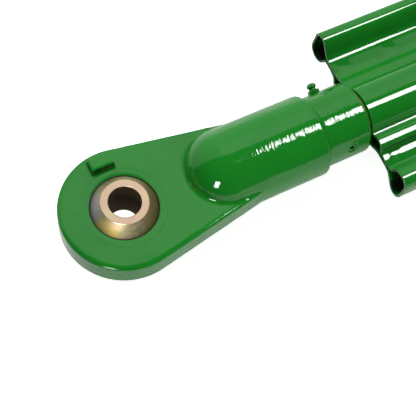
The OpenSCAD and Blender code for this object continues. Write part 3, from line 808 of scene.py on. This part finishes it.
class LINK_OT_handle(Operator):
    """Stamp the two halves of the handle"""

    bl_idname = "link.handle"
    bl_label = "Handle"

    def execute(self, context):
        self.sizes = context.scene.link_sizes
        self.stamp("handle_stamping_front", "handle_front", ROLL)
        self.stamp("handle_stamping_back", "handle_back", ROLL + pi)
        return {"FINISHED"}

    def fold(self, bm, vert, place, path, side):
        """Follows a path from a vertex: a flat is extruded, a bend is spun"""
        heading = place[2]
        for size, turn in path:
            sweep = abs(size * turn) if turn else abs(size)
            steps = max(8 if turn else 1, round(sweep / self.sizes.sheet_grain))
            if turn:
                bend = size if turn > 0.0 else -size
                centre = vert.co + Vector((0.0, -side * bend * sin(heading), bend * cos(heading)))
                made = bmesh.ops.spin(
                    bm, geom=[vert], cent=centre, axis=(1, 0, 0), dvec=(0, 0, 0),
                    angle=side * turn, steps=steps,
                )["geom_last"]
                vert = of_kind(made, BMVert)[0]
                heading += turn
                continue
            for _ in range(steps):
                vert = bmesh.ops.extrude_vert_indiv(bm, verts=[vert])["verts"][0]
                vert.co += Vector((0.0, side * cos(heading), sin(heading))) * size / steps

    def stamp(self, name, node, roll):
        """Draws the section, pushes it along, presses the dimples and thickens the sheet"""
        x0, x1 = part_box(node)[0][0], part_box(node)[1][0]
        plain, plain_path = plain_side(self.sizes)
        channel, channel_path = channel_side(self.sizes)
        bm = bmesh.new()
        first = bmesh.ops.create_vert(bm, co=(x0, plain[0], plain[1]))["vert"][0]
        grip = bmesh.ops.spin(
            bm, geom=[first], cent=(x0, 0, 0), axis=(1, 0, 0), dvec=(0, 0, 0),
            angle=pi - self.sizes.valley - self.sizes.plain, steps=36,
        )["geom_last"]
        last = of_kind(grip, BMVert)[0]
        self.fold(bm, first, plain, plain_path, 1.0)
        self.fold(bm, last, channel, channel_path, -1.0)
        steps = round((x1 - x0) / self.sizes.sheet_grain)
        bmesh.ops.spin(
            bm, geom=bm.verts[:] + bm.edges[:], cent=(0, 0, 0), axis=(1, 0, 0),
            dvec=((x1 - x0) / steps, 0, 0), angle=0.0, steps=steps,
        )
        bmesh.ops.remove_doubles(bm, verts=bm.verts, dist=1e-5)
        self.press(bm, x0, x1)
        bmesh.ops.recalc_face_normals(bm, faces=bm.faces)
        middle = max(bm.faces, key=lambda face: face.calc_center_median().z)
        if middle.normal.z < 0.0:
            bmesh.ops.reverse_faces(bm, faces=bm.faces)
        bmesh.ops.rotate(bm, verts=bm.verts, matrix=Matrix.Rotation(roll, 3, "X"))
        piece = settle(name, bm, node, closed=False)
        thick = piece.modifiers.new("Sheet", "SOLIDIFY")
        thick.thickness = self.sizes.sheet
        thick.offset = 0.0
        eased = piece.modifiers.new("Sheared edges", "BEVEL")
        eased.width = 0.45 * MM
        eased.segments = 3
        eased.limit_method = "ANGLE"
        eased.angle_limit = radians(50.0)
        eased.harden_normals = True

    def press(self, bm, x0, x1):
        """Presses the spot welds' dimples into both webs"""
        gap, radius = 0.3 * MM, self.sizes.spot
        inset, row, count = 11.0 * MM, 43.33 * MM, 6
        apart = (x1 - x0 - 2.0 * inset) / (count - 1)
        spots = [Vector((x0 + inset + k * apart, side * row))
                 for k in range(count) for side in (-1.0, 1.0)]
        for vert in bm.verts:
            if vert.co.z < 2.5 * MM and 38.0 * MM < abs(vert.co.y) < 50.0 * MM:
                away = min((Vector(vert.co.xy) - spot).length for spot in spots)
                vert.co.z -= gap * ease(-away, -1.23 * radius, -0.46 * radius)


class LINK_OT_screws(Operator):
    """Cut the right-hand and the left-hand screw, and pin them"""

    bl_idname = "link.screws"
    bl_label = "Screws"

    def execute(self, context):
        pitch = context.scene.link_sizes.pitch
        self.thread("screw_right_hand", "upper_screw", pitch, 1.0)
        self.thread("screw_left_hand", "lower_screw", pitch, -1.0)
        painted_copy("upper_pin_driven", "upper_screw_pin", 0.0005)
        painted_copy("lower_pin_driven", "lower_screw_pin", 0.0005)
        return {"FINISHED"}

    def thread(self, name, node, pitch, hand, steps=48):
        """Winds one pitch's outline along the bar, trims both ends and chamfers them"""
        low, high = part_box(node)
        start, end, crest = low[0], high[0], high[2]
        root = crest - 0.5413 * pitch
        chamfer = 2.0 * MM
        # Starting this many pitches early, no point of the winding lies on a trimming plane
        early = 1.37
        bm = bmesh.new()
        outline = ((0.0, root), (0.25, root), (0.5625, crest), (0.6875, crest), (1.0, root))
        chain = [bm.verts.new((start + (along - early) * pitch, 0.0, radius))
                 for along, radius in outline]
        for near, far in zip(chain, chain[1:]):
            bm.edges.new((near, far))
        turns = ceil((end - start) / pitch) + 2
        bmesh.ops.spin(
            bm, geom=bm.verts[:] + bm.edges[:], cent=(0, 0, 0), axis=(1, 0, 0),
            dvec=(pitch / steps, 0, 0), angle=hand * 2.0 * pi * turns, steps=steps * turns,
        )
        bmesh.ops.remove_doubles(bm, verts=bm.verts, dist=2e-5)
        for place, side in ((start, -1.0), (end, 1.0)):
            bmesh.ops.edgeloop_fill(bm, edges=trim(bm, (place, 0, 0), (side, 0, 0)))
        for vert in bm.verts:
            inside = min(vert.co.x - start, end - vert.co.x)
            reach = (vert.co.y ** 2 + vert.co.z ** 2) ** 0.5
            limit = crest - chamfer + inside
            if reach > limit:
                vert.co.y *= limit / reach
                vert.co.z *= limit / reach
        settle(name, bm, node, sharp=25.0)


class LINK_OT_fork(Operator):
    """Forge the fork, bush its pin hole and weld the lock lugs on"""

    bl_idname = "link.fork"
    bl_label = "Fork"

    def execute(self, context):
        grain = context.scene.link_sizes.forging_grain
        forged("fork_forging", "lower_yoke", grain, passes=6, ripple=0.00016, ripple_size=0.011)
        painted_copy("lock_lugs_painted", "lock_lugs", 0.0006)
        weld_beads("lock_lug_beads", "lock_lug_welds")
        bm, pin_x = bmesh.new(), 0.640
        outline = [(20.0, 14.35, 0.5), (20.0, 17.0, 0.2), (35.0, 17.0, 0.2), (35.0, 14.35, 0.5)]
        for side in (1.0, -1.0):
            bush = turned(outline, upright=True)
            bmesh.ops.scale(bush, vec=(1.0, 1.0, side), verts=bush.verts)
            bmesh.ops.translate(bush, vec=(pin_x, 0.0, 0.0), verts=bush.verts)
            add_shape(bm, bush)
        settle("bushes_turned", bm, "yoke_bushes")
        return {"FINISHED"}


# Stage

class LINK_OT_stage(Operator):
    """Set up the floor, the soft lamps and the camera"""

    bl_idname = "link.stage"
    bl_label = "Stage"

    def execute(self, context):
        scene = context.scene
        scene.view_settings.view_transform = "Standard"
        self.camera(scene)
        self.floor(scene)
        self.world(scene)
        # Name, place, target, width, height, radiance and the rays that don't see the lamp
        lamps = (
            ("key", (0.96, -0.27, 1.55), (0.20, 0.0, 0.0), 0.42, 0.50, 20.0, "visible_diffuse"),
            ("side", (-0.73, -0.79, 0.60), (0.07, 0.0, 0.0), 0.27, 0.38, 20.0, "visible_diffuse"),
            ("fill", (0.25, 0.74, 1.64), (0.25, 0.0, 0.0), 1.00, 1.00, 9.4, "visible_glossy"),
            ("low fill", (0.25, -1.60, 0.33), (0.25, 0.0, 0.0), 1.00, 0.60, 7.5, "visible_glossy"),
        )
        for name, place, target, wide, high, radiance, unseen in lamps:
            lamp = self.lamp(scene, name, Vector(place), Vector(target), wide, high, radiance)
            setattr(lamp, unseen, False)
        return {"FINISHED"}

    def camera(self, scene):
        """The camera that was fitted to the photo"""
        data = bpy.data.cameras.new("photo camera")
        data.sensor_width = 36.0
        data.lens = 86.54
        camera = bpy.data.objects.new("photo camera", data)
        camera.location = (-0.14762, -0.27587, 0.71863)
        camera.rotation_euler = (radians(23.9329), radians(-5.6010), radians(-27.2858))
        scene.collection.objects.link(camera)
        scene.camera = camera

    def floor(self, scene):
        """A white floor: lit and glowing for the camera, half of each in reflections"""
        bm = bmesh.new()
        bmesh.ops.create_grid(bm, x_segments=1, y_segments=1, size=6.0)
        bmesh.ops.translate(bm, vec=(0.3, 0.0, cad_box[0][2] - 0.0002), verts=bm.verts)
        mesh = bpy.data.meshes.new("floor")
        bm.to_mesh(mesh)
        bm.free()
        floor = bpy.data.objects.new("floor", mesh)
        scene.collection.objects.link(floor)
        finish = Finish("floor")
        shade = (*tuple(scene.link_colours.floor), 1.0)
        diffuse = finish.node("ShaderNodeBsdfDiffuse", inputs={"Color": shade})
        rays = finish.node("ShaderNodeLightPath").socket.node
        glossy = Worth(finish, rays.outputs["Is Glossy Ray"])
        mirrored = glossy.most(Worth(finish, rays.outputs["Is Transmission Ray"]))
        glow = finish.node("ShaderNodeEmission", inputs={"Color": (1, 1, 1, 1), "Strength": 0.85})
        bright = finish.node("ShaderNodeAddShader", inputs={0: diffuse, 1: glow})
        half = finish.node("ShaderNodeMixShader", inputs={0: mirrored * 0.5, 1: diffuse, 2: glow})
        camera = Worth(finish, rays.outputs["Is Camera Ray"])
        surface = finish.node("ShaderNodeMixShader", inputs={0: camera, 1: half, 2: bright})
        finish.node("ShaderNodeOutputMaterial", inputs={"Surface": surface})
        mesh.materials.append(finish.material)

    def world(self, scene):
        """White for the camera. The link sees a dim horizon and a soft panel on the +Y side"""
        world = bpy.data.worlds.new("studio")
        scene.world = world
        world.use_nodes = True
        nodes, links = world.node_tree.nodes, world.node_tree.links
        nodes.clear()
        place = nodes.new("ShaderNodeTexCoord")
        split = nodes.new("ShaderNodeSeparateXYZ")
        links.new(place.outputs["Generated"], split.inputs[0])
        x, y, z = split.outputs
        horizon = self.fade(world, z, 0.0, 0.10, 0.25, 0.015)
        inside = self.fade(world, self.blend(world, (x, 0.2), (y, 1.0)), 0.27, 0.33, 0.0, 1.0)
        high = self.both(world, "MULTIPLY", self.fade(world, z, 0.45, 0.80, 0.0, 0.47),
                         self.fade(world, x, -0.05, 0.20, 0.0, 1.0))
        panel = self.both(world, "MULTIPLY", inside, self.both(world, "ADD", high, 0.78))
        soft = self.both(world, "MAXIMUM", horizon, panel)
        rays = nodes.new("ShaderNodeLightPath")
        white = self.both(world, "MAXIMUM", soft, rays.outputs["Is Camera Ray"])
        back = nodes.new("ShaderNodeBackground")
        links.new(white, back.inputs["Strength"])
        out = nodes.new("ShaderNodeOutputWorld")
        links.new(back.outputs[0], out.inputs["Surface"])

    def fade(self, world, value, low, high, first, last):
        """A smooth fade from one strength to another as a value rises"""
        fade = world.node_tree.nodes.new("ShaderNodeMapRange")
        fade.interpolation_type = "SMOOTHSTEP"
        limits = {"From Min": low, "From Max": high, "To Min": first, "To Max": last}
        for name, number in limits.items():
            fade.inputs[name].default_value = number
        world.node_tree.links.new(value, fade.inputs["Value"])
        return fade.outputs[0]

    def both(self, world, operation, first, second):
        """Two values put together by a Math node"""
        maths = world.node_tree.nodes.new("ShaderNodeMath")
        maths.operation = operation
        for socket, value in zip(maths.inputs, (first, second)):
            if isinstance(value, float):
                socket.default_value = value
            else:
                world.node_tree.links.new(value, socket)
        return maths.outputs[0]

    def blend(self, world, *parts):
        """The sum of some values, each times its own factor"""
        total = 0.0
        for value, factor in parts:
            total = self.both(world, "ADD", self.both(world, "MULTIPLY", value, factor), total)
        return total

    def lamp(self, scene, name, place, target, wide, high, radiance):
        """A rectangular lamp, its energy worked out from its radiance and its size"""
        data = bpy.data.lights.new(name, "AREA")
        data.shape = "RECTANGLE"
        data.size, data.size_y = wide, high
        data.energy = radiance * 4.0 * wide * high
        lamp = bpy.data.objects.new(name, data)
        aim = (place - target).to_track_quat("Z", "Y")
        lamp.matrix_world = Matrix.LocRotScale(place, aim, None)
        lamp.visible_camera = False
        scene.collection.objects.link(lamp)
        return lamp


class LINK_PT_pieces(Panel):
    """Lists the steps that build the link's looks"""

    bl_idname = "LINK_PT_pieces"
    bl_label = "Lift Link"
    bl_space_type = "VIEW_3D"
    bl_region_type = "UI"
    bl_category = "Lift Link"

    def draw(self, context):
        for group in (context.scene.link_colours, context.scene.link_sizes):
            box = self.layout.box()
            for name in group.bl_rna.properties.keys():
                if name not in ("rna_type", "name"):
                    box.prop(group, name)
        for step in STEPS:
            self.layout.operator(step.bl_idname)


STEPS = (LINK_OT_finishes, LINK_OT_eye, LINK_OT_ball, LINK_OT_nut, LINK_OT_tube, LINK_OT_handle,
         LINK_OT_screws, LINK_OT_fork, LINK_OT_stage)
CLASSES = (LinkColours, LinkSizes, *STEPS, LINK_PT_pieces)


def register():
    for cls in CLASSES:
        bpy.utils.register_class(cls)
    bpy.types.Scene.link_colours = PointerProperty(type=LinkColours)
    bpy.types.Scene.link_sizes = PointerProperty(type=LinkSizes)


def unregister():
    del bpy.types.Scene.link_sizes
    del bpy.types.Scene.link_colours
    for cls in reversed(CLASSES):
        bpy.utils.unregister_class(cls)


def main():
    register()
    for step in STEPS:
        group, name = step.bl_idname.split(".")
        getattr(getattr(bpy.ops, group), name)()


if __name__ == "__main__":
    main()
